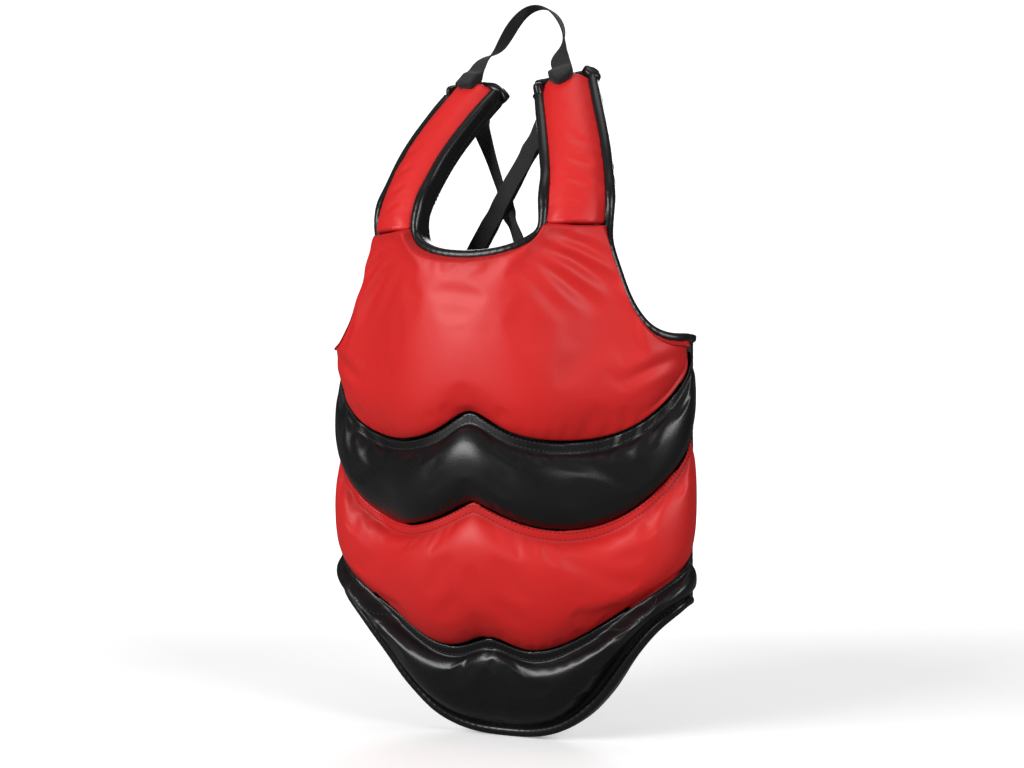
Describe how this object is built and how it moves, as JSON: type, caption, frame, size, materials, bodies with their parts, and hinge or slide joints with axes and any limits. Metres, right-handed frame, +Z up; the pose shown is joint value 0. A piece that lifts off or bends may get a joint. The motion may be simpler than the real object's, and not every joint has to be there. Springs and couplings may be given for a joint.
{
  "type": "martial arts chest protector",
  "caption": "Padded torso protector in coated cloth: stacked swelling bands down to a hip guard, padded shoulder arms joined by a neck loop, crossed rear straps on side-release buckles.",
  "frame": {"origin": "on the wearer's centre line, level with the wings' rear edges and halfway up the padding", "axes": "+Z up along the body, -Y forward out of the chest, +X towards the wing on the right of the front view"},
  "size_m": [0.3954, 0.1625, 0.7313],
  "materials": {
    "red_coated_cloth": "satin coated cloth, fine grain",
    "black_coated_cloth": "satin coated cloth, fine grain",
    "foam": "closed-cell foam",
    "lining_cloth": "knitted spacer mesh",
    "webbing": "ribbed woven tape",
    "buckle_plastic": "moulded acetal",
    "elastic": "woven elastic"
  },
  "bodies": {
    "vest": {"chest_cover": "red_coated_cloth", "belly_band_cover": "red_coated_cloth", "right_arm_cover": "red_coated_cloth", "left_arm_cover": "red_coated_cloth", "rib_band_cover": "black_coated_cloth", "lower_guard_cover": "black_coated_cloth", "hem_binding": "black_coated_cloth", "right_wing_binding": "black_coated_cloth", "left_wing_binding": "black_coated_cloth", "right_armhole_binding": "black_coated_cloth", "left_armhole_binding": "black_coated_cloth", "neckline_binding": "black_coated_cloth", "right_tip_binding": "black_coated_cloth", "left_tip_binding": "black_coated_cloth", "chest_foam": "foam", "rib_band_foam": "foam", "belly_band_foam": "foam", "lower_guard_foam": "foam", "backing_board": "foam", "right_arm_foam": "foam", "left_arm_foam": "foam", "body_lining": "lining_cloth", "right_arm_lining": "lining_cloth", "left_arm_lining": "lining_cloth", "neck_loop": "webbing", "right_shoulder_strap": "webbing", "left_shoulder_strap": "webbing", "left_tab": "webbing", "right_tab": "webbing", "left_buckle_socket": "buckle_plastic", "right_buckle_socket": "buckle_plastic"},
    "left_plug": {"left_buckle_plug": "buckle_plastic"},
    "left_keeper_ring": {"left_keeper": "elastic"},
    "left_outer_latch_arm": {"left_outer_latch": "buckle_plastic"},
    "left_inner_latch_arm": {"left_inner_latch": "buckle_plastic"},
    "right_plug": {"right_buckle_plug": "buckle_plastic"},
    "right_keeper_ring": {"right_keeper": "elastic"},
    "right_outer_latch_arm": {"right_outer_latch": "buckle_plastic"},
    "right_inner_latch_arm": {"right_inner_latch": "buckle_plastic"}
  },
  "joints": [
    {"name": "left_plug_slide", "type": "slide", "parent": "vest", "child": "left_plug", "axis": [0.4905, 0.03, 0.8709], "range_m": [0, 0.04], "deforming": ["right_shoulder_strap", "left_outer_latch", "left_inner_latch"]},
    {"name": "left_keeper_slide", "type": "slide", "parent": "vest", "child": "left_keeper_ring", "axis": [0.4905, 0.03, 0.8709], "range_m": [-0.02, 0.02]},
    {"name": "left_outer_latch_squeeze", "type": "hinge", "parent": "left_plug", "child": "left_outer_latch_arm", "pos_m": [-0.15096, -0.00127, -0.04116], "axis": [0.0147, -0.9995, 0.0262], "range_deg": [0, 8], "stiffness_Nm_per_rad": 0.4},
    {"name": "left_inner_latch_squeeze", "type": "hinge", "parent": "left_plug", "child": "left_inner_latch_arm", "pos_m": [-0.13702, -0.00127, -0.04902], "axis": [-0.0147, 0.9995, -0.0262], "range_deg": [0, 8], "stiffness_Nm_per_rad": 0.4},
    {"name": "right_plug_slide", "type": "slide", "parent": "vest", "child": "right_plug", "axis": [-0.6191, 0.0999, 0.7789], "range_m": [0, 0.04], "deforming": ["left_shoulder_strap", "right_outer_latch", "right_inner_latch"]},
    {"name": "right_keeper_slide", "type": "slide", "parent": "vest", "child": "right_keeper_ring", "axis": [-0.6191, 0.0999, 0.7789], "range_m": [-0.02, 0.02]},
    {"name": "right_outer_latch_squeeze", "type": "hinge", "parent": "right_plug", "child": "right_outer_latch_arm", "pos_m": [0.14628, 0.00089, -0.04295], "axis": [0.0621, 0.995, -0.0782], "range_deg": [0, 8], "stiffness_Nm_per_rad": 0.4},
    {"name": "right_inner_latch_squeeze", "type": "hinge", "parent": "right_plug", "child": "right_inner_latch_arm", "pos_m": [0.13376, 0.00089, -0.05291], "axis": [-0.0621, -0.995, 0.0782], "range_deg": [0, 8], "stiffness_Nm_per_rad": 0.4}
  ]
}
